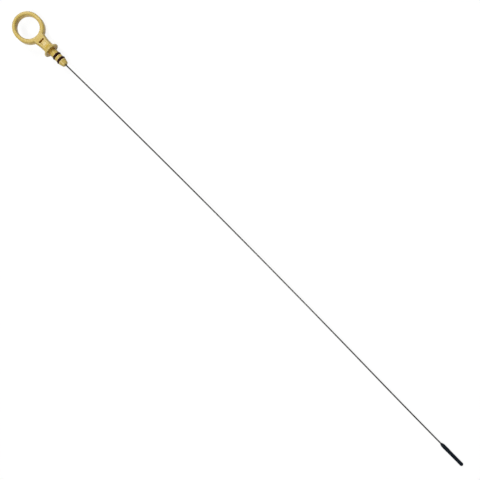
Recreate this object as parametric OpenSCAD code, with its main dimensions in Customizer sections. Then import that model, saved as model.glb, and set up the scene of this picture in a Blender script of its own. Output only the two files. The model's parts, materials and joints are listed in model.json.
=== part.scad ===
// Engine oil dipstick, drawn out of its tube and lying on a flat bench.
//
// One moulded handle carries everything: a finger ring, a neck, a flange that
// rests on the mouth of the dipstick tube, and a plug with two sealing rings
// that closes the tube. A springy steel wire is moulded into the plug, and a
// moulded gauge tip with the level marks is moulded onto the wire's far end.
//
// Each piece is drawn in the stick's own axes: X runs along the plug towards
// the gauge tip, with zero on the underside of the flange, Y lies in the plane
// of the finger ring, and Z stands on that plane. The module "laid" then turns
// the pieces to the way the stick lies: on the flange's rim, on one edge of the
// finger ring and on the end of the gauge tip.

/* [Finger ring] */
// Width of the finger hole, across the stick
ring_hole_w = 24.5; // [18:0.5:34]
// Length of the hole's straight sides, between its two half circles
ring_straight_len = 2.3; // [0.5:0.1:12]
// Width of the ring's section, from the hole to the outside, at its sides
ring_band = 4.6; // [4.4:0.1:8]
// How much narrower the ring is at its far end, and wider where the neck joins it
hole_shift = 0.5; // [0:0.1:0.5]
// Thickness of the ring, from its front face to its back face
ring_thick = 8.8; // [6:0.1:10.4]
// Rounding of the ring's edges
ring_edge_r = 1.9; // [0.6:0.1:2]

/* [Neck] */
// Length of the neck, from the outside of the ring to the flange's underside
neck_len = 17.6; // [14:0.1:40]
// Width of the neck where it meets the ring
neck_ring_d = 14.2; // [13:0.1:17]
// Width of the neck at its waist
neck_waist_d = 11.8; // [10.6:0.1:12.8]
// Length of the waist, between the neck's taper and the flange's bell
neck_waist_len = 1.4; // [0.4:0.1:2.4]
// Radius of the run-out where the neck's flat faces climb the bell
flat_runout_r = 4.5; // [3:0.1:5.5]
// Distance from the end of that run-out to the flange's rim
flat_rim_gap = 1.3; // [0.5:0.1:2]

/* [Pocket in the neck's front] */
// Length of the cross slot
slot_len = 7; // [5.6:0.1:8]
// Width of the cross slot
slot_w = 1.5; // [1:0.1:2]
// Depth of the cross slot
slot_depth = 2.4; // [1.8:0.1:2.6]
// Distance from the outside of the ring to the slot's near wall
slot_from_ring = 2.4; // [1:0.1:3]
// Width of the ramp that runs out of the slot
ramp_w = 4.6; // [3:0.1:5.4]
// Length of the ramp
ramp_len = 5.2; // [3:0.1:6]
// Depth of the ramp where it leaves the slot
ramp_depth = 0.8; // [0.4:0.1:1.7]

/* [Flange] */
// Diameter of the flange
flange_d = 17.8; // [15:0.1:24]
// Thickness of the flange's rim
flange_rim_h = 1.7; // [1.2:0.1:3]
// Rounding of the rim's edges
flange_edge_r = 0.5; // [0.2:0.05:0.55]
// Length of the bell between the neck's waist and the rim
bell_len = 4.9; // [4:0.1:6]

/* [Plug] */
// Diameter of the plug
plug_d = 9.4; // [8.8:0.1:12]
// Distance from the flange's underside to the middle of the first sealing ring
first_seal_x = 8; // [5:0.1:14]
// Distance between the two sealing rings
seal_pitch = 6.3; // [4:0.1:10]
// Length of plug between the last groove and the nose
plug_end_len = 0.8; // [0.4:0.1:4]
// Length of the tapered nose
nose_len = 5.2; // [3:0.1:9]
// Diameter of the nose at its end
nose_end_d = 6.6; // [5.6:0.1:8]
// Rounding of the nose's edge
nose_edge_r = 1.2; // [0.2:0.1:1.6]

/* [Sealing rings] */
// Thickness of a sealing ring's round section
seal_section_d = 2.4; // [1.8:0.1:2.6]
// Height that a sealing ring stands out of the plug
seal_proud = 0.6; // [0.2:0.05:0.8]
// Room beside a sealing ring in its groove, on each side
seal_side_room = 0.2; // [0.1:0.05:0.5]

/* [Wire] */
// Diameter of the wire
wire_d = 1.6; // [1.2:0.1:1.8]
// Length of the wire between the plug and the gauge tip
wire_len = 586; // [420:1:900]
// Depth to which the wire's end reaches into the neck, past the flange's underside
wire_in_neck = 11; // [6:0.1:12]
// Depth to which the wire's end reaches into the gauge tip
wire_in_tip = 9; // [7:0.1:10.5]
// Height of the upset head at each end of the wire
wire_head_lip = 0.5; // [0.3:0.05:0.55]
// Length of the upset head
wire_head_len = 2.5; // [1.5:0.1:4]
// Gap between the wire and the mouth of the plug
wire_mouth_gap = 0.5; // [0.3:0.05:0.8]
// Depth of that mouth
wire_mouth_depth = 1.6; // [0.8:0.1:3]

/* [Set of the wire] */
// Angle between the plug and the wire where it leaves the plug's mouth
wire_mouth_angle = 0.6; // [0:0.05:1.4]
// Radius of the long bow that the wire has taken
wire_bow_r = 14250; // [10000:50:40000]
// Length of the last stretch before the gauge tip, which bends back
wire_back_len = 113; // [40:1:240]
// Radius of the bend in that stretch
wire_back_r = 9150; // [5000:50:40000]

/* [Gauge tip] */
// Length of the gauge tip
tip_len = 34.2; // [30:0.1:60]
// Diameter of its head, where it holds the wire
tip_head_d = 4.4; // [3.9:0.05:5.5]
// Length of the head
tip_head_len = 11.8; // [11:0.1:14]
// Length of the head's rounded shoulder
tip_shoulder_len = 5; // [3:0.1:6]
// Wall that the shoulder leaves round the wire at the mouth
tip_mouth_wall = 0.2; // [0.1:0.05:0.5]
// Diameter of the body below the head
tip_body_d = 4.15; // [3.6:0.05:5]
// Width of the groove at each level mark
level_w = 0.8; // [0.4:0.1:1.2]
// Depth of the groove at each level mark
level_depth = 0.3; // [0.1:0.05:0.4]
// Length of the hatched range between the level marks
range_len = 13.1; // [6:0.1:14]
// Depth of the flat panels that carry the hatching
panel_depth = 0.45; // [0.25:0.05:0.6]
// Distance between the hatching's grooves, along the stick
hatch_pitch = 1.64; // [1.2:0.02:2.4]
// Width of a hatching groove
hatch_w = 0.45; // [0.3:0.05:0.6]
// Depth of a hatching groove
hatch_depth = 0.25; // [0.1:0.05:0.35]

/* [Hidden] */
$fn = 96;

// Clearance round what is moulded in or stretched over its seat
mould_clear = 0.02;
// Reach of a cutter past the surface that it cuts
over = 20;

// The finger ring, two half circles and the short straights between them
ring_out_r = ring_hole_w / 2 + ring_band;
ring_straight = ring_straight_len / 2;
ring_x = -(neck_len + ring_straight + ring_hole_w / 2 + ring_band);
face_z = ring_thick / 2;

// The stem, from the neck to the nose
waist_start_x = -(flange_rim_h + bell_len + neck_waist_len);
bell_start_x = -(flange_rim_h + bell_len);
seal_r = plug_d / 2 + seal_proud - seal_section_d / 2;
groove_r = seal_r - seal_section_d / 2 - mould_clear;
groove_w = seal_section_d + 2 * seal_side_room;
second_seal_x = first_seal_x + seal_pitch;
nose_start_x = second_seal_x + groove_w / 2 + plug_end_len;
nose_x = nose_start_x + nose_len;
slot_x = -neck_len + slot_from_ring;
flat_end_x = -(flange_rim_h + flat_rim_gap + flat_runout_r);

// The wire is two arcs in the ring's plane, a long bow and a shorter stretch
// that bends back. Lengths along it are measured from the plug's mouth.
wire_start = -(nose_x + wire_in_neck);
bow_end = wire_len - wire_back_len;
wire_end = wire_len + wire_in_tip;

// Heading after a length s of an arc that starts at the heading h, and the way
// that it has gone by then. Below zero, a radius turns the arc to the left.
function arc_heading(h, s, r) = h - s / r * 180 / PI;
function arc_way(h, s, r) =
    let (now = arc_heading(h, s, r))
    r * [sin(h) - sin(now), cos(now) - cos(h)];

// Heading and place of the wire at a length along it
function heading(s) =
    s <= bow_end
        ? arc_heading(wire_mouth_angle, s, wire_bow_r)
        : arc_heading(heading(bow_end), s - bow_end, -wire_back_r);
function on_wire(s) =
    s <= bow_end
        ? [nose_x, 0] + arc_way(wire_mouth_angle, s, wire_bow_r)
        : on_wire(bow_end) + arc_way(heading(bow_end), s - bow_end, -wire_back_r);

// The end of the gauge tip is a ball of the body's own radius
tip_ball_r = tip_body_d / 2;
tip_ball_x = tip_len - tip_ball_r;

// How the stick lies. The flange's rim, the ring's lower edge and the gauge tip
// are at one height. Each guess at the pitch gives the roll at which ring and
// flange are level, and that roll gives a better pitch. The tip touches with
// its head or with its end, whichever the pitch brings down first.
rim_r = flange_d / 2 - flange_edge_r;
rim_x = -flange_rim_h + flange_edge_r;
edge_y = ring_out_r - ring_edge_r;
edge_z = face_z - ring_edge_r;

function roll_for(pitch) =
    let (drop = (rim_x - ring_x - ring_straight) * tan(pitch) + rim_r
             + (flange_edge_r - ring_edge_r) / cos(pitch))
    asin(drop / norm([edge_y, edge_z])) - atan2(edge_z, edge_y);
function pitch_to(x, r, roll) =
    let (at = on_wire(wire_len) + x * [cos(heading(wire_len)), sin(heading(wire_len))])
    asin((flange_d / 2 - r - at[1] * sin(roll)) / (at[0] - rim_x));
function pitch_for(roll) =
    min(pitch_to(tip_head_len, tip_head_d / 2, roll), pitch_to(tip_ball_x, tip_ball_r, roll));
function settled(pitch, passes) =
    passes == 0 ? pitch : settled(pitch_for(roll_for(pitch)), passes - 1);

rest_pitch = settled(0, 6);
rest_roll = roll_for(rest_pitch);

// Turns a piece from the stick's own axes to the way that the stick lies
module laid() {
    rotate([0, rest_pitch, 0])
        rotate([-rest_roll, 0, 0])
            children();
}

// Revolves an outline of (radius, place along the stick) round the stick's axis
module turned() {
    rotate([0, 90, 0])
        rotate_extrude()
            children();
}

// A round rod along the stick, between two places
module rod(from_x, to_x, d) {
    translate([from_x, 0, 0])
        rotate([0, 90, 0])
            cylinder(h = to_x - from_x, d = d);
}

// Puts a piece at a length along the wire, in line with it
module at_wire(s) {
    translate([on_wire(s)[0], on_wire(s)[1], 0])
        rotate([0, 0, heading(s)])
            children();
}

// A round rod that leaves the origin along -X and bends towards -Y
module bent_rod(length, r, d) {
    turn = length / r * 180 / PI;
    translate([0, -r, 0])
        rotate([0, 0, 90])
            rotate_extrude(angle = turn, $fn = ceil(12 * 360 / turn))
                translate([r, 0])
                    circle(d / 2, $fn = 32);
}

// The wire from end to end: an upset head, two arcs that meet where the bow
// ends, and a head again. It is drawn at its own size or, for the hollows that
// the mouldings leave round it, with some room.
module wire_form(room) {
    wire_room_d = wire_d + 2 * room;
    head_d = wire_room_d + 2 * wire_head_lip;
    half_head = wire_head_len / 2;
    at_wire(wire_start)
        rod(-room, wire_head_len + room, head_d, $fn = 32);
    at_wire(bow_end)
        bent_rod(bow_end - wire_start - half_head, wire_bow_r, wire_room_d);
    at_wire(bow_end)
        rotate([0, 0, 180])
            bent_rod(wire_end - bow_end - half_head, wire_back_r, wire_room_d);
    at_wire(wire_end)
        rod(-wire_head_len - room, room, head_d, $fn = 32);
}

// A rectangle with round corners, centred
module rounded(w, h, r) {
    square([w - 2 * r, h], center = true);
    square([w, h - 2 * r], center = true);
    for (side = [-1, 1], end = [-1, 1])
        translate([side * (w / 2 - r), end * (h / 2 - r)])
            circle(r);
}

// Carries a half outline of (radius, height) round an oval: two half turns, and
// the straight stretches between them
module carried_round() {
    for (end = [-1, 1]) {
        translate([end * ring_straight, 0, 0])
            rotate([0, 0, -90 * end])
                rotate_extrude(angle = 180)
                    children();
        rotate([90, 0, 90 * end])
            linear_extrude(2 * ring_straight, center = true)
                children();
    }
}

// The finger ring: an oval plate and a hole, both with rounded edges. The hole
// is a little off centre, towards the ring's far end.
module ring_plate() {
    translate([ring_x, 0, 0])
        carried_round()
            intersection() {
                rounded(2 * ring_out_r, ring_thick, ring_edge_r);
                translate([0, -face_z])
                    square([ring_out_r, ring_thick]);
            }
}

// Everything on the hole's side of the ring's rounded section
module finger_hole() {
    hole_r = ring_hole_w / 2;
    translate([ring_x - hole_shift, 0, 0])
        carried_round()
            difference() {
                translate([0, -face_z - over])
                    square([hole_r + ring_edge_r, ring_thick + 2 * over]);
                translate([hole_r + ring_band / 2, 0])
                    rounded(ring_band, ring_thick, ring_edge_r);
            }
}

// Half outline of the neck: an arc from the ring's end down to the waist
module neck_outline() {
    waist_r = neck_waist_d / 2;
    widening = (neck_ring_d - neck_waist_d) / 2;
    taper_len = neck_len + waist_start_x;
    arc_r = (taper_len * taper_len + widening * widening) / (2 * widening);
    translate([0, ring_x])
        square([neck_ring_d / 2, -neck_len - ring_x]);
    difference() {
        translate([0, -neck_len])
            square([neck_ring_d / 2, taper_len]);
        translate([waist_r + arc_r, waist_start_x])
            circle(arc_r, $fn = 360);
    }
    translate([0, waist_start_x])
        square([waist_r, -waist_start_x]);
}

// Half outline of the flange: a bell that flares from the waist to the rim
module flange_outline() {
    flare = rim_r - neck_waist_d / 2;
    arc_r = (bell_len * bell_len + flare * flare) / (2 * flare);
    difference() {
        translate([0, bell_start_x])
            square([rim_r, bell_len]);
        translate([neck_waist_d / 2 + arc_r, bell_start_x])
            circle(arc_r);
    }
    translate([0, -flange_rim_h / 2])
        rounded(flange_d, flange_rim_h, flange_edge_r);
}

// Half outline of the plug and its tapered nose, with the grooves left in
module plug_outline() {
    slope = atan2((plug_d - nose_end_d) / 2, nose_len);
    edge_x = nose_x - nose_edge_r;
    edge_r = nose_end_d / 2 + nose_edge_r * (tan(slope) - 1 / cos(slope));
    difference() {
        square([plug_d / 2, nose_start_x]);
        for (x = [first_seal_x, second_seal_x])
            translate([groove_r, x - groove_w / 2])
                square([over, groove_w]);
    }
    polygon([
        [0, nose_start_x],
        [plug_d / 2, nose_start_x],
        [edge_r + nose_edge_r * cos(slope), edge_x + nose_edge_r * sin(slope)],
        [edge_r, nose_x],
        [0, nose_x],
    ]);
    translate([edge_r, edge_x])
        circle(nose_edge_r);
}

// What makes the neck's faces level with the ring's, up to the run-out
module neck_flat_cutter() {
    rotate([90, 0, 0])
        linear_extrude(2 * over, center = true) {
            translate([ring_x, face_z])
                square([flat_end_x - ring_x, over]);
            translate([flat_end_x, face_z + flat_runout_r])
                circle(flat_runout_r);
        }
}

// Neck, flange, plug and nose in one turning, with the neck's two flat faces
module stem() {
    difference() {
        turned() {
            intersection() {
                union() {
                    neck_outline();
                    flange_outline();
                    plug_outline();
                }
                translate([0, ring_x])
                    square([flange_d, nose_x - ring_x]);
            }
        }
        for (side = [0, 1])
            mirror([0, 0, side])
                neck_flat_cutter();
    }
}

// The cross slot, and the ramp that rises from it to the neck's face
module front_pocket() {
    translate([slot_x, -slot_len / 2, face_z - slot_depth])
        cube([slot_w, slot_len, over]);
    rotate([90, 0, 0])
        linear_extrude(ramp_w, center = true)
            polygon([
                [slot_x + slot_w / 2, face_z - ramp_depth],
                [slot_x + slot_w, face_z - ramp_depth],
                [slot_x + slot_w + ramp_len, face_z],
                [slot_x + slot_w + ramp_len, face_z + over],
                [slot_x + slot_w / 2, face_z + over],
            ]);
}

// The hollow that the moulding leaves round the wire, and its open mouth
module wire_hollow_in_handle() {
    wire_form(mould_clear);
    rod(nose_x - wire_mouth_depth, nose_x + over, wire_d + 2 * wire_mouth_gap);
}

module handle() {
    color("#DCC078")
        laid()
            difference() {
                union() {
                    ring_plate();
                    stem();
                }
                finger_hole();
                front_pocket();
                wire_hollow_in_handle();
            }
}

// A rubber sealing ring of round section in its groove
module seal_ring(x) {
    color("#1E120E")
        laid()
            turned()
                translate([seal_r, x])
                    circle(seal_section_d / 2, $fn = 48);
}

module upper_seal_ring() {
    seal_ring(first_seal_x);
}

module lower_seal_ring() {
    seal_ring(second_seal_x);
}

module wire() {
    color("#9C9C9C")
        laid()
            wire_form(0);
}

// Half outline of the gauge tip: a shouldered head, a body and a round end
module tip_outline() {
    head_r = tip_head_d / 2;
    drop = head_r - wire_d / 2 - tip_mouth_wall;
    arc_r = (tip_shoulder_len * tip_shoulder_len + drop * drop) / (2 * drop);
    intersection() {
        square([head_r, tip_shoulder_len]);
        translate([head_r - arc_r, tip_shoulder_len])
            circle(arc_r, $fn = 180);
    }
    difference() {
        union() {
            translate([0, tip_shoulder_len])
                square([head_r, tip_head_len - tip_shoulder_len]);
            translate([0, tip_head_len])
                square([tip_body_d / 2, tip_ball_x - tip_head_len]);
        }
        for (x = [tip_head_len, tip_head_len + level_w + range_len])
            translate([tip_body_d / 2 - level_depth, x])
                square([over, level_w]);
    }
    translate([0, tip_ball_x])
        intersection() {
            square(tip_ball_r);
            circle(tip_ball_r);
        }
}

// One flat panel between the level marks, crossed by slanting grooves
module hatched_panel_cutter() {
    start_x = tip_head_len + level_w;
    panel_z = tip_body_d / 2 - panel_depth;
    reach = tip_body_d;
    count = ceil((range_len + 2 * reach) / hatch_pitch);
    translate([start_x, -over / 2, panel_z])
        cube([range_len, over, over]);
    intersection() {
        translate([start_x, -over / 2, panel_z - hatch_depth])
            cube([range_len, over, over]);
        for (lean = [-45, 45], i = [0 : count])
            translate([start_x - reach + i * hatch_pitch, 0, panel_z])
                rotate([0, 0, lean])
                    cube([hatch_w, 4 * reach, 2 * hatch_depth], center = true);
    }
}

module gauge_tip() {
    color("#1B2530")
        laid()
            difference() {
                at_wire(wire_len)
                    difference() {
                        turned()
                            tip_outline($fn = 64);
                        for (side = [0, 1])
                            mirror([0, 0, side])
                                hatched_panel_cutter();
                    }
                wire_form(mould_clear);
            }
}

handle();
upper_seal_ring();
lower_seal_ring();
wire();
gauge_tip();
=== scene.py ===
import itertools
import json
import math

import bpy
import numpy as np
from mathutils import Matrix, Vector


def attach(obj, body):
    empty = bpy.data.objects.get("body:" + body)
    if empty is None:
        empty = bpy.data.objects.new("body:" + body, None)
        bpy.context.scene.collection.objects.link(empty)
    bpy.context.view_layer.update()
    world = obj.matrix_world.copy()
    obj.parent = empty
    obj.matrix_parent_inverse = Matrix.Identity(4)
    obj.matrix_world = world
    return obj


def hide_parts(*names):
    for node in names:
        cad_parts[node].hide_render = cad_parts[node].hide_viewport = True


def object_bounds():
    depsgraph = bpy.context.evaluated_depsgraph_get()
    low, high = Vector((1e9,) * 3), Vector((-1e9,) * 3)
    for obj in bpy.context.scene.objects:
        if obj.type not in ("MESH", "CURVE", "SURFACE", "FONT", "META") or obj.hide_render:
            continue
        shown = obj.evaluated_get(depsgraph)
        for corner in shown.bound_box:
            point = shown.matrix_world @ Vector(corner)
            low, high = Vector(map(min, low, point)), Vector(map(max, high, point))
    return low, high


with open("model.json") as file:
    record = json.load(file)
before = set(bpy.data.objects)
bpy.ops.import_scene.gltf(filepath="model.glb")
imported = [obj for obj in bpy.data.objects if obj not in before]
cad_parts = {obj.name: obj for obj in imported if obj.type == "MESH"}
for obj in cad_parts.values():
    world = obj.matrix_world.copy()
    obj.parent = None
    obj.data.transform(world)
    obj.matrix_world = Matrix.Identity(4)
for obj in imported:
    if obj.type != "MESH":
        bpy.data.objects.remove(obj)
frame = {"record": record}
cad_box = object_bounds()

# How the stick lies
# It rests on a bench on its flange's rim, one edge of its finger ring and its gauge tip.
# The pieces are worked out in the stick's own axes, in millimetres: X from the flange's
# underside to the gauge tip, Y across it in the ring's plane, and Z out of the ring's face.
MM = 0.001
rest_roll = math.radians(-19.9203)
seat_axis = Vector(frame["record"]["mounts"][0]["axis"])
rest_pitch = math.atan2(-seat_axis.z, seat_axis.x)
stick_to_bench = Matrix.Rotation(rest_pitch, 3, "Y") @ Matrix.Rotation(rest_roll, 3, "X")


def laid(points):
    """Turns points from the stick's own axes to the way it lies, and millimetres to metres."""
    return points @ np.array(stick_to_bench).T * MM


# Camera
# It looks square onto the face of the finger ring, from in front of the middle of the
# wire, and the stick runs down the picture from its top left corner.
picture_px = 480
ring_middle_px = (28.9, 28.2)
mm_per_px = 1.1
focal_px = 630
stick_slant = math.radians(44.8)
ring_middle = Vector((-35.6, 0, 0))

picture_right = Vector((math.cos(stick_slant), math.sin(stick_slant), 0))
picture_up = Vector((-math.sin(stick_slant), math.cos(stick_slant), 0))
toward_eye = Vector((0, 0, 1))
px_right = picture_px / 2 - ring_middle_px[0]
px_down = picture_px / 2 - ring_middle_px[1]
eye = ring_middle + mm_per_px * (
    px_right * picture_right - px_down * picture_up + focal_px * toward_eye
)

camera_data = bpy.data.cameras.new("camera")
camera_data.sensor_width = 36
camera_data.lens = camera_data.sensor_width * focal_px / picture_px
camera = bpy.data.objects.new("camera", camera_data)
bpy.context.scene.collection.objects.link(camera)
camera_turn = Matrix((picture_right, picture_up, toward_eye)).transposed()
camera.matrix_world = Matrix.Translation(stick_to_bench @ eye * MM) @ (
    stick_to_bench @ camera_turn
).to_4x4()
bpy.context.scene.camera = camera


# Bench and light
# A white bench top under two equal soft lamps, one past the handle's end of the stick and
# one over the side of the wire, in a dim room. The bench shows white to the eye and in
# reflections, and keeps the soft shadow.
bench_size = 6000
bench_white = "#D8D4C8"
bench_shadow = "#606060"
bench_glow = 0.92
room_light = 0.03
lamp_size = 800
lamp_power = 31.0
end_lamp_place = Vector((-1447, 255, 2023))
side_lamp_place = Vector((490, -1347, 2048))


def srgb(hex_code):
    """Linear red, green, blue and alpha of an sRGB colour such as #DCC078."""
    shares = np.array([int(hex_code[at:at + 2], 16) for at in (1, 3, 5)]) / 255
    linear = np.where(shares > 0.04045, ((shares + 0.055) / 1.055) ** 2.4, shares / 12.92)
    return (*linear, 1.0)


def add_node(tree, kind, inputs=None, **settings):
    """Adds a shader node. Its settings are its own options, and inputs gives each named or
    numbered input a value, or the output of another node that is then linked to it."""
    node = tree.nodes.new("ShaderNode" + kind)
    for option, value in settings.items():
        setattr(node, option, value)
    for name, value in (inputs or {}).items():
        if isinstance(value, bpy.types.NodeSocket):
            tree.links.new(value, node.inputs[name])
        else:
            node.inputs[name].default_value = value
    return node


def seen_ray(tree):
    """1 on rays from the camera, from a reflection or through glass, and 0 on the rest."""
    path = add_node(tree, "LightPath").outputs
    camera_or_glossy = add_node(tree, "Math", {
        0: path["Is Camera Ray"], 1: path["Is Glossy Ray"]}, operation="MAXIMUM")
    return add_node(tree, "Math", {
        0: camera_or_glossy.outputs[0], 1: path["Is Transmission Ray"]},
        operation="MAXIMUM").outputs[0]


room = bpy.data.worlds.new("dim_room")
bpy.context.scene.world = room
room.use_nodes = True
tree = room.node_tree
tree.nodes.clear()
lit = add_node(tree, "Background", {"Color": srgb("#FFFFFF"), "Strength": room_light})
add_node(tree, "OutputWorld", {"Surface": lit.outputs[0]})

bench_low = cad_box[0].z
bench_mesh = bpy.data.meshes.new("bench_top")
corners = np.array([(-1, -1), (1, -1), (1, 1), (-1, 1)]) * bench_size * MM / 2
bench_mesh.from_pydata([(x, y, bench_low) for x, y in corners], [], [(0, 1, 2, 3)])
bench = bpy.data.objects.new("bench_top", bench_mesh)
bpy.context.scene.collection.objects.link(bench)

# White paint: matt, and lit from within for the eye only, so that it stays white
paint = bpy.data.materials.new("white_paint")
paint.use_nodes = True
tree = paint.node_tree
tree.nodes.clear()
matt = add_node(tree, "BsdfDiffuse", {"Color": srgb(bench_white)})
faint = add_node(tree, "BsdfDiffuse", {"Color": srgb(bench_shadow)})
glow = add_node(tree, "Emission", {"Color": srgb("#FFFFFF"), "Strength": bench_glow})
glowing = add_node(tree, "AddShader", {0: faint.outputs[0], 1: glow.outputs[0]})
either = add_node(tree, "MixShader", {
    0: seen_ray(tree), 1: matt.outputs[0], 2: glowing.outputs[0]})
add_node(tree, "OutputMaterial", {"Surface": either.outputs[0]})
bench_mesh.materials.append(paint)

for name, place in (("end_lamp", end_lamp_place), ("side_lamp", side_lamp_place)):
    lamp_data = bpy.data.lights.new(name, "AREA")
    lamp_data.size = lamp_size * MM
    lamp_data.energy = lamp_power
    lamp = bpy.data.objects.new(name, lamp_data)
    bpy.context.scene.collection.objects.link(lamp)
    place = stick_to_bench @ place
    lamp.location = place * MM
    lamp.rotation_euler = (-place).to_track_quat("-Z", "Y").to_euler()

bpy.context.scene.view_settings.view_transform = "Standard"


# Handle
# One moulding in straw-yellow nylon: a finger ring, a waisted neck with two flat faces, a
# flange with a bell behind it, and a plug with two grooves and a tapered nose, moulded
# round the wire. Its edges are as soft as such a moulding's are.
ring_hole_w = 24.5
ring_straight = 1.15
ring_band = 4.6
hole_shift = 0.5
ring_thick = 8.8
ring_edge_r = 1.9
neck_len = 17.6
neck_ring_d = 14.2
neck_waist_d = 11.8
neck_waist_len = 1.4
flat_runout_r = 4.5
flat_rim_gap = 1.3
slot_len = 7.0
slot_w = 1.5
slot_depth = 2.4
slot_from_ring = 2.4
ramp_w = 4.6
ramp_len = 5.2
ramp_depth = 0.8
flange_d = 17.8
flange_rim_h = 1.7
flange_edge_r = 0.5
bell_len = 4.9
plug_d = 9.4
groove_xs = (8.0, 14.3)
groove_w = 2.8
groove_d = 5.76
nose_start_x = 16.5
nose_x = 21.7
nose_end_d = 6.6
nose_edge_r = 1.2
mouth_d = 2.6
mouth_depth = 1.6
corner_fillet = 0.8
soft_edge = 0.25
parting_line_h = 0.04
parting_line_w = 0.22
skin_step = 0.25
skin_low = (-54.4, -17.9, -9.6)
skin_high = (22.6, 18.0, 9.8)

wire_d = 1.6
wire_len = 586.0
wire_mouth_heading = math.radians(0.6)
wire_bow_r = 14250.0
wire_in_neck = 11.0
wire_in_tip = 9.0
wire_head_lip = 0.5
wire_head_len = 2.5
moulded_room = 0.04

straw_pale = "#E6CA72"
straw_deep = "#D4B23C"
# Painted highlight: the pale straw that sharp edges turn towards, for light through and off them
painted_edge_highlight = "#F0E4B0"
# Painted shade: the deep amber that the nylon turns towards in hollow corners and recesses
painted_shade_amber = "#B07C14"
edge_reach = 0.3
edge_sharpness = 4
hollow_reaches = (1.0, 2.0, 4.0)
painted_shade_depth = 1.4
cloud_size = 11.1
grain_size = 0.4
grain_height = 0.05

# The middle of the long arc along which the wire leaves the nose
bow_x = nose_x + wire_bow_r * math.sin(wire_mouth_heading)
bow_y = -wire_bow_r * math.cos(wire_mouth_heading)


def filleted(a, b, r):
    """Union of two distance fields, with a round fillet of radius r where they meet."""
    corner = np.hypot(np.maximum(r - a, 0), np.maximum(r - b, 0))
    return np.maximum(np.minimum(a, b), r) - corner


def shared(a, b, r):
    """What two distance fields share, with its edge rounded to radius r."""
    corner = np.hypot(np.maximum(a + r, 0), np.maximum(b + r, 0))
    return np.minimum(np.maximum(a, b), -r) + corner


def rounded_box(a, b, half_a, half_b, r):
    """Distance to a rectangle of half sizes half_a and half_b with corners of radius r."""
    a, b = np.abs(a) - (half_a - r), np.abs(b) - (half_b - r)
    return np.hypot(np.maximum(a, 0), np.maximum(b, 0)) + np.minimum(np.maximum(a, b), 0) - r


def handle_field(x, y, z):
    """Distance from the handle's surface, below zero inside it. The ring is an oval plate
    with an oval hole, both round-edged. The stem is what its arcs, rim, plug and cone leave
    when they are turned about X. The flats, the pocket and the wire are cut out of it."""
    face_z = ring_thick / 2
    along = x - ring_middle.x
    off_oval = np.hypot(np.maximum(np.abs(along) - ring_straight, 0), y) - ring_hole_w / 2
    off_hole = np.hypot(np.maximum(np.abs(along + hole_shift) - ring_straight, 0), y)
    band = np.maximum(off_oval - ring_band, ring_hole_w / 2 - off_hole)
    ring = shared(band, np.abs(z) - face_z, ring_edge_r)

    out = np.hypot(y, z)
    waist_r = neck_waist_d / 2
    waist_x = -(flange_rim_h + bell_len + neck_waist_len)
    taper = neck_len + waist_x
    widening = (neck_ring_d - neck_waist_d) / 2
    neck_arc = (taper ** 2 + widening ** 2) / (2 * widening)
    before_waist = np.maximum(waist_x - np.maximum(x, -neck_len), 0)
    neck = neck_arc - np.hypot(before_waist, out - waist_r - neck_arc)
    neck = np.maximum(np.maximum(neck, x), np.maximum(ring_band / 2 - off_oval, -along))

    bell_x = -(flange_rim_h + bell_len)
    rim_r = flange_d / 2 - flange_edge_r
    flare = rim_r - waist_r
    bell_arc = (bell_len ** 2 + flare ** 2) / (2 * flare)
    bell = bell_arc - np.hypot(x - bell_x, out - waist_r - bell_arc)
    bell = np.maximum(np.maximum(bell, out - rim_r), np.maximum(bell_x - x, x + flange_rim_h / 2))
    rim = rounded_box(out, x + flange_rim_h / 2, flange_d / 2, flange_rim_h / 2, flange_edge_r)
    flange = filleted(np.minimum(bell, neck), rim, soft_edge)

    plug = np.maximum(out - plug_d / 2, x - nose_start_x)
    for groove_x in groove_xs:
        groove = np.maximum(np.abs(x - groove_x) - groove_w / 2, groove_d / 2 - out)
        plug = shared(plug, -groove, soft_edge)
    slope = math.atan2((plug_d - nose_end_d) / 2, nose_x - nose_start_x)
    cone = (out - plug_d / 2) * math.cos(slope) + (x - nose_start_x) * math.sin(slope)
    nose = np.maximum(shared(cone, x - nose_x, nose_edge_r), nose_start_x - x)
    plug = np.maximum(np.minimum(plug, nose), -x - flange_rim_h / 2)
    stem = filleted(flange, plug, soft_edge)

    flat_end_x = -(flange_rim_h + flat_rim_gap + flat_runout_r)
    past_face = np.maximum(x - flat_end_x, face_z - np.abs(z))
    off_runout = np.hypot(x - flat_end_x, np.abs(z) - face_z - flat_runout_r) - flat_runout_r
    stem = shared(stem, -np.minimum(past_face, off_runout), soft_edge)
    body = np.maximum(filleted(ring, stem, corner_fillet), -past_face)
    moulded_edge = (out > plug_d / 2 + parting_line_w) * (x < 0)
    body = body - parting_line_h * moulded_edge * np.exp(-(z / parting_line_w) ** 2)

    slot_x = -neck_len + slot_from_ring + slot_w / 2
    slot = rounded_box(x - slot_x, y, slot_w / 2, slot_len / 2, soft_edge)
    slot = np.maximum(slot, face_z - slot_depth - z)
    rise = math.atan2(ramp_depth, ramp_len)
    from_ramp_end = x - slot_x - slot_w / 2 - ramp_len
    over_ramp = (z - face_z) * math.cos(rise) - from_ramp_end * math.sin(rise)
    ramp = np.maximum(np.abs(y) - ramp_w / 2, np.maximum(slot_x - x, from_ramp_end))
    ramp = np.maximum(ramp, -over_ramp)
    body = shared(body, -np.minimum(slot, ramp), soft_edge)

    mouth = np.maximum(out - mouth_d / 2, nose_x - mouth_depth - x)
    body = shared(body, -mouth, soft_edge)
    head_r = wire_d / 2 + wire_head_lip
    off_wire = np.hypot(np.hypot(x - bow_x, y - bow_y) - wire_bow_r, z) - moulded_room
    held = np.maximum(off_wire - wire_d / 2, -wire_in_neck - moulded_room - x)
    head = np.maximum(off_wire - head_r, np.abs(x + wire_in_neck - wire_head_len / 2)
                      - wire_head_len / 2 - moulded_room)
    return np.maximum(body, -np.minimum(held, head))


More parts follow.
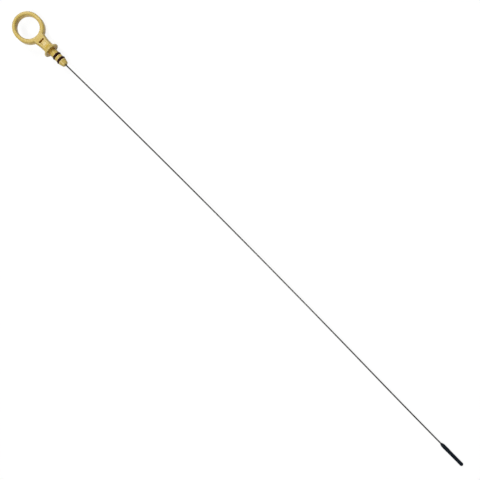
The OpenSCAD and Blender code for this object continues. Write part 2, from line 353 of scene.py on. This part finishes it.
def slope_of(field, points, reach):
    """A field's slope at each point, and the field's rise around the point over its value
    there, which is high on sharp edges and below zero in hollow corners."""
    here = field(*points.T)
    ahead, behind = (
        np.stack([field(*(points + side * reach * axis).T) for axis in np.eye(3)], -1)
        for side in (1, -1)
    )
    return here, (ahead - behind) / (2 * reach), ((ahead + behind).sum(-1) - 6 * here) / reach ** 2


def surface_net(field, low, high, step):
    """Points and faces of the surface where a distance field is zero. Each cell of a grid
    that the surface crosses gets one point, at the mean of the crossings on its edges, and
    each edge that it crosses gets one face, between the four cells round it. The points
    are then moved along the field's slope onto the surface, in two steps."""
    axes = [np.arange(a, b, step) for a, b in zip(low, high)]
    values = field(axes[0][:, None, None], axes[1][None, :, None], axes[2][None, None, :])
    inside = values < 0
    corners = np.array(list(itertools.product((0, 1), repeat=3)))
    shape = np.array(inside.shape) - 1
    filled = sum(
        inside[tuple(slice(c, c + n) for c, n in zip(corner, shape))].astype(np.int8)
        for corner in corners
    )
    cells = np.argwhere((filled > 0) & (filled < 8))
    at_corner = [values[tuple((cells + corner).T)] for corner in corners]
    total, crossings = np.zeros(cells.shape), np.zeros((len(cells), 1))
    for a, b in itertools.combinations(range(8), 2):
        if np.abs(corners[a] - corners[b]).sum() > 1:
            continue
        crossed = (at_corner[a] < 0) != (at_corner[b] < 0)
        gap = np.where(crossed, at_corner[a] - at_corner[b], 1)
        share = np.where(crossed, at_corner[a], 0) / gap
        place = corners[a] + share[:, None] * (corners[b] - corners[a])
        total += place * crossed[:, None]
        crossings += crossed[:, None]
    points = (cells + total / crossings) * step + np.array(low)
    for _ in range(2):
        here, slope, _ = slope_of(field, points, step / 10)
        points -= slope * (here / np.maximum((slope ** 2).sum(-1), 0.5))[:, None]

    number = np.full(shape, -1)
    number[tuple(cells.T)] = np.arange(len(cells))
    faces = []
    for axis in range(3):
        within, names = np.moveaxis(inside, axis, 0), np.moveaxis(number, axis, 0)
        near, far = within[:-1, 1:-1, 1:-1], within[1:, 1:-1, 1:-1]
        around = np.stack(
            [names[:, :-1, :-1], names[:, 1:, :-1], names[:, 1:, 1:], names[:, :-1, 1:]], -1)
        outward, inward = (near & ~far, ~near & far)[:: -1 if axis == 1 else 1]
        faces += [around[outward], around[inward][:, ::-1]]
    return points, np.concatenate(faces)


def new_piece(name, points, faces, material):
    """A smooth piece of one material, from points in the stick's axes. It rides on the body."""
    mesh = bpy.data.meshes.new(name)
    mesh.from_pydata(laid(points), [], faces)
    mesh.shade_smooth()
    mesh.materials.append(material)
    piece = bpy.data.objects.new(name, mesh)
    bpy.context.scene.collection.objects.link(piece)
    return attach(piece, "root")


# Nylon 6, dyed straw-yellow and moulded in a spark-eroded mould: a soft gloss over a fine
# grain and a little uneven where the melt cooled, with a painted highlight on sharp edges
# and painted shade in deep amber in hollow corners and recesses. The grain is finer on the
# real one, and drawn as coarse as it needs to show.
nylon = bpy.data.materials.new("straw_yellow_nylon")
nylon.use_nodes = True
tree = nylon.node_tree
surface = tree.nodes["Principled BSDF"]
place = add_node(tree, "TexCoord").outputs["Object"]
clouds = add_node(tree, "TexNoise", {
    "Vector": place, "Scale": 1 / (cloud_size * MM), "Detail": 1.0})
straw = add_node(tree, "MixRGB", {
    0: clouds.outputs[0], 1: srgb(straw_deep), 2: srgb(straw_pale)})
# Painted highlight: the sharper an edge, the paler its colour
edges = add_node(tree, "Attribute", attribute_name="edge")
with_edge_highlight = add_node(tree, "MixRGB", {
    0: edges.outputs["Fac"], 1: straw.outputs[0], 2: srgb(painted_edge_highlight)})
# Painted shade: the more a point lies in a hollow, the more its colour turns deep amber
painted_shade_mask = add_node(tree, "Attribute", attribute_name="hollow")
deeper = add_node(tree, "MixRGB", {
    0: painted_shade_mask.outputs["Fac"], 1: with_edge_highlight.outputs[0], 2: srgb(painted_shade_amber)})
tree.links.new(deeper.outputs[0], surface.inputs["Base Color"])
surface.inputs["Roughness"].default_value = 0.32
surface.inputs["IOR"].default_value = 1.4
grain = add_node(tree, "TexNoise", {
    "Vector": place, "Scale": 1 / (grain_size * MM), "Detail": 2.0})
relief = add_node(tree, "Bump", {
    "Height": grain.outputs[0], "Strength": 0.04, "Distance": grain_height * MM})
tree.links.new(relief.outputs[0], surface.inputs["Normal"])

points, faces = surface_net(handle_field, skin_low, skin_high, skin_step)
handle = new_piece("moulded_handle", points, faces, nylon)

# The skin's own attributes: how sharp it is at each point, and how much of what lies
# straight in front of it is filled. They place the painted highlight on sharp edges and
# the painted shade in hollow corners.
_, slope, sharpness = slope_of(handle_field, points, edge_reach)
ahead = slope / np.linalg.norm(slope, axis=1)[:, None]
open_share = np.mean([
    np.clip(handle_field(*(points + reach * ahead).T) / reach, 0, 1) for reach in hollow_reaches
], 0)
for name, share in (("edge", sharpness / edge_sharpness),
                    ("hollow", painted_shade_depth * (1 - open_share))):
    attribute = handle.data.attributes.new(name, "FLOAT", "POINT")
    attribute.data.foreach_set("value", np.clip(share, 0, 1).astype(np.float32))
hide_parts("handle")


# Sealing rings
# Two O-rings in black nitrile rubber, moulded in two halves and rolled over the nose into
# the plug's grooves. A fine flash line runs round each where its mould closed.
seal_section_d = 2.4
seal_proud = 0.6
flash_line_h = 0.04
flash_line_w = 0.12
seal_columns, seal_rows = 128, 72
rubber_black = "#2A0A04"
rubber_dull = "#3A140A"
bloom_size = 1.11


def grid_faces(rows, columns, rows_close):
    """Faces between the neighbours of a grid of points, whose columns close on themselves.
    Its rows close too, or a flat face closes the first row and the last one."""
    number = np.arange(rows * columns).reshape(rows, columns)
    ends = [] if rows_close else [number[0, ::-1].tolist(), number[-1].tolist()]
    if rows_close:
        number = np.concatenate([number, number[:1]])
    number = np.concatenate([number, number[:, :1]], 1)
    corners = [number[:-1, :-1], number[:-1, 1:], number[1:, 1:], number[1:, :-1]]
    return np.stack(corners, -1).reshape(-1, 4).tolist() + ends


def seal_points(middle_x):
    """A circle carried round the stick: at the angle v of its section a point stands out by
    the section's radius, and by a bell curve's height at the flash line, where v is zero."""
    u = np.linspace(0, 2 * math.pi, seal_columns, endpoint=False)[None, :]
    v = np.linspace(-math.pi, math.pi, seal_rows, endpoint=False)[:, None]
    section_r = seal_section_d / 2
    line = np.exp(-(np.sin(v) * section_r / flash_line_w) ** 2)
    section_r = section_r + flash_line_h * line * (np.cos(v) > 0)
    out = plug_d / 2 + seal_proud - seal_section_d / 2 + section_r * np.cos(v)
    x = middle_x + section_r * np.sin(v) + 0 * u
    return np.stack([x, out * np.cos(u), out * np.sin(u)], -1).reshape(-1, 3)


# Nitrile rubber with carbon black: dull, with a thin film of oil that gives it a soft shine
rubber = bpy.data.materials.new("nitrile_rubber")
rubber.use_nodes = True
tree = rubber.node_tree
surface = tree.nodes["Principled BSDF"]
place = add_node(tree, "TexCoord").outputs["Object"]
bloom = add_node(tree, "TexNoise", {
    "Vector": place, "Scale": 1 / (bloom_size * MM), "Detail": 4.0})
black = add_node(tree, "MixRGB", {
    0: bloom.outputs[0], 1: srgb(rubber_black), 2: srgb(rubber_dull)})
tree.links.new(black.outputs[0], surface.inputs["Base Color"])
film = add_node(tree, "MapRange", {"Value": bloom.outputs[0], "To Min": 0.35, "To Max": 0.55})
tree.links.new(film.outputs[0], surface.inputs["Roughness"])
surface.inputs["IOR"].default_value = 1.2

for name, middle_x in (("upper", groove_xs[0]), ("lower", groove_xs[1])):
    faces = grid_faces(seal_rows, seal_columns, rows_close=True)
    seal = new_piece(name + "_o_ring", seal_points(middle_x), faces, rubber)
    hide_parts(name + "_seal_ring")


# Wire
# Hard-drawn spring steel wire, cut to length, with a head upset on each end so that the
# mouldings can't slide off it. It has taken a long bow from lying coiled, and its last
# stretch before the gauge tip bends back a little.
wire_back_len = 113.0
wire_back_r = 9150.0
wire_columns = 32
wire_step = 2.0
wire_step_from_head = 1.0
corner_r = 0.2
corner_rows = 6
pole_r = 0.02
streak_len = 40.0
streak_w = 0.25
streak_depth = 0.02
steel_light = "#848482"
steel_dark = "#3C3C3A"

bow_end = wire_len - wire_back_len


def heading_at(s):
    """The wire's heading a length s along it: it falls along the bow and then rises again."""
    fall = np.minimum(s, bow_end) / wire_bow_r
    return wire_mouth_heading - fall + np.maximum(s - bow_end, 0) / wire_back_r


def on_wire(s, aside=0, above=0):
    """Points beside the wire, a length s along it from the nose and two distances across
    it. It is two arcs, and on each it turns by its length over the arc's radius."""
    bent = wire_mouth_heading - np.minimum(s, bow_end) / wire_bow_r
    heading = heading_at(s)
    x = bow_x - wire_bow_r * np.sin(bent) + wire_back_r * (np.sin(heading) - np.sin(bent))
    y = bow_y + wire_bow_r * np.cos(bent) + wire_back_r * (np.cos(bent) - np.cos(heading))
    return np.stack(np.broadcast_arrays(
        x - aside * np.sin(heading), y + aside * np.cos(heading), above), -1)


def corner(s, out, r, start, end):
    """Points of an arc of radius r about the middle (s, out), between two angles."""
    turn = np.radians(np.linspace(start, end, corner_rows))
    return np.stack([s + r * np.cos(turn), out + r * np.sin(turn)], -1)


def along_uv(mesh, s, columns):
    """Gives a tube its own UV map: the length along the wire, and the distance round it,
    both in millimetres. The last face of each row ends at the full turn, and the two faces
    that close the ends come last."""
    turn = np.linspace(0, math.pi * wire_d, columns + 1)
    along, around = np.meshgrid(s, turn, indexing="ij")
    grid = np.stack([along, around], -1)
    corners = [grid[:-1, :-1], grid[:-1, 1:], grid[1:, 1:], grid[1:, :-1]]
    uv = np.concatenate([
        np.stack(corners, 2).reshape(-1, 2), grid[0, :-1][::-1], grid[-1, :-1]])
    uv_map = mesh.uv_layers.new(name="along")
    uv_map.uv.foreach_set("vector", uv.astype(np.float32).ravel())


wire_r = wire_d / 2
head_r = wire_r + wire_head_lip
head_end = wire_head_len - corner_r
head = np.concatenate([
    [(0, pole_r)],
    corner(corner_r, head_r - corner_r, corner_r, 180, 90),
    corner(head_end, head_r - corner_r, corner_r, 90, 0),
    corner(wire_head_len + corner_r, wire_r + corner_r, corner_r, 180, 270),
])
start_s, end_s = -nose_x - wire_in_neck, wire_len + wire_in_tip
from_head = wire_head_len + wire_step_from_head
free_s = np.arange(start_s + from_head, end_s - from_head, wire_step)
outline = np.concatenate([
    head + (start_s, 0),
    np.stack([free_s, np.full(len(free_s), wire_r)], -1),
    (head * (-1, 1) + (end_s, 0))[::-1],
])
turn = np.linspace(0, 2 * math.pi, wire_columns, endpoint=False)
s, out = outline[:, :1], outline[:, 1:]
points = on_wire(s, out * np.cos(turn), out * np.sin(turn)).reshape(-1, 3)

# Drawn steel: the die leaves fine lines along the wire, here drawn as wide as they need to
# show, and the drawing soap and oil film turn it a dull mid grey
steel = bpy.data.materials.new("drawn_spring_steel")
steel.use_nodes = True
tree = steel.node_tree
surface = tree.nodes["Principled BSDF"]
surface.inputs["Metallic"].default_value = 1.0
place = add_node(tree, "UVMap", uv_map="along").outputs[0]
stretched = add_node(tree, "Mapping", {
    "Vector": place, "Scale": (1 / streak_len, 1 / streak_w, 1)})
streaks = add_node(tree, "TexNoise", {
    "Vector": stretched.outputs[0], "Scale": 1.0, "Detail": 3.0})
grey = add_node(tree, "MixRGB", {
    0: streaks.outputs[0], 1: srgb(steel_dark), 2: srgb(steel_light)})
tree.links.new(grey.outputs[0], surface.inputs["Base Color"])
dull = add_node(tree, "MapRange", {"Value": streaks.outputs[0], "To Min": 0.28, "To Max": 0.45})
tree.links.new(dull.outputs[0], surface.inputs["Roughness"])
relief = add_node(tree, "Bump", {
    "Height": streaks.outputs[0], "Strength": 0.3, "Distance": streak_depth * MM})
tree.links.new(relief.outputs[0], surface.inputs["Normal"])

faces = grid_faces(len(outline), wire_columns, rows_close=False)
wire = new_piece("spring_wire", points, faces, steel)
along_uv(wire.data, outline[:, 0], wire_columns)
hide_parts("wire")


# Gauge tip
# One moulding in blue-black nylon on the wire's far end: a shouldered head, a groove at
# each oil level, and between them a range with two flat panels of crossed grooves.
tip_len = 34.2
tip_head_d = 4.4
tip_head_len = 11.8
tip_shoulder_len = 5.0
tip_mouth_wall = 0.2
tip_body_d = 4.15
level_w = 0.8
level_depth = 0.3
range_len = 13.1
panel_depth = 0.45
hatch_pitch = 1.64
hatch_w = 0.45
hatch_depth = 0.25
tip_columns = 128
tip_step = 0.08
tip_edge = 0.06
ball_rows = 20
tip_black = "#0E151D"
tip_grey = "#1C2632"
fibre_size = 0.5556
fibre_height = 0.04


def eased(value):
    """Rises from zero to one as the value does, with a soft start and end."""
    value = np.clip(value, 0, 1)
    return value * value * (3 - 2 * value)


def tip_radius(x):
    """Radius of the turned form: an arc at the shoulder, the head, the body less the level
    grooves, whose walls are soft steps, and a ball at the end."""
    head_r, body_r = tip_head_d / 2, tip_body_d / 2
    drop = head_r - wire_r - tip_mouth_wall
    arc_r = (tip_shoulder_len ** 2 + drop ** 2) / (2 * drop)
    before_head = np.maximum(tip_shoulder_len - x, 0)
    out = head_r - arc_r + np.sqrt(arc_r ** 2 - before_head ** 2)
    out = out + (body_r - head_r) * eased((x - tip_head_len) / tip_edge)
    for start in (tip_head_len, tip_head_len + level_w + range_len):
        middle = start + level_w / 2
        out = out - level_depth * eased((level_w / 2 - np.abs(x - middle)) / tip_edge + 0.5)
    into_ball = np.clip(x - (tip_len - body_r), 0, body_r)
    return out * np.sqrt(1 - (into_ball / body_r) ** 2)


def tip_section(x, turn):
    """Radius at a place along the tip and an angle round it. On the range it is the nearer
    of the round body and the flat panel, which the crossed grooves make deeper."""
    out = tip_radius(x) + 0 * turn
    side = out * np.cos(turn)
    start = tip_head_len + level_w
    grooves = 0
    for lean in (-1, 1):
        across = (x - start + tip_body_d + lean * side) / hatch_pitch
        off_line = np.abs((across + 0.5) % 1 - 0.5) * hatch_pitch * math.sqrt(0.5)
        grooves = np.maximum(grooves, eased((hatch_w / 2 - off_line) / tip_edge + 0.5))
    on_range = eased(np.minimum(x - start, start + range_len - x) / tip_edge + 0.5)
    panel = tip_body_d / 2 - panel_depth - hatch_depth * grooves
    flat = panel / np.maximum(np.abs(np.sin(turn)), 1e-6)
    return out - on_range * np.maximum(out - flat, 0)


ball_turn = np.linspace(0, math.pi / 2, ball_rows)
ball_x = tip_len - tip_body_d / 2 * (1 - np.sin(ball_turn))
body_x = np.arange(0, tip_len - tip_body_d / 2, tip_step)
outside_x = np.concatenate([body_x, ball_x])[:, None]
turn = np.linspace(0, 2 * math.pi, tip_columns, endpoint=False)[None, :]
outside = np.maximum(tip_section(outside_x, turn), pole_r)
hollow = np.array([
    (wire_in_tip + moulded_room, pole_r),
    (wire_in_tip + moulded_room, head_r + moulded_room),
    (wire_in_tip - wire_head_len - moulded_room, head_r + moulded_room),
    (wire_in_tip - wire_head_len - moulded_room, wire_r + moulded_room),
    (0, wire_r + moulded_room),
])
tip_x = np.concatenate([hollow[:, :1], outside_x])
tip_out = np.concatenate([np.repeat(hollow[:, 1:], tip_columns, 1), outside])
heading = heading_at(wire_len)
points = on_wire(wire_len) + np.stack(np.broadcast_arrays(
    tip_x * math.cos(heading) - tip_out * np.cos(turn) * math.sin(heading),
    tip_x * math.sin(heading) + tip_out * np.cos(turn) * math.cos(heading),
    tip_out * np.sin(turn)), -1).reshape(-1, 3)

# Nylon filled with glass fibre: nearly black with a blue cast, and matt where the fibres
# come to the surface, here drawn as coarse as they need to show
filled_nylon = bpy.data.materials.new("blue_black_nylon")
filled_nylon.use_nodes = True
tree = filled_nylon.node_tree
surface = tree.nodes["Principled BSDF"]
place = add_node(tree, "TexCoord").outputs["Object"]
fibres = add_node(tree, "TexNoise", {
    "Vector": place, "Scale": 1 / (fibre_size * MM), "Detail": 4.0})
black = add_node(tree, "MixRGB", {0: fibres.outputs[0], 1: srgb(tip_black), 2: srgb(tip_grey)})
tree.links.new(black.outputs[0], surface.inputs["Base Color"])
dull = add_node(tree, "MapRange", {"Value": fibres.outputs[0], "To Min": 0.4, "To Max": 0.6})
tree.links.new(dull.outputs[0], surface.inputs["Roughness"])
surface.inputs["IOR"].default_value = 1.2
relief = add_node(tree, "Bump", {
    "Height": fibres.outputs[0], "Strength": 0.15, "Distance": fibre_height * MM})
tree.links.new(relief.outputs[0], surface.inputs["Normal"])

faces = grid_faces(len(tip_x), tip_columns, rows_close=False)
tip = new_piece("level_gauge_tip", points, faces, filled_nylon)
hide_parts("gauge_tip")
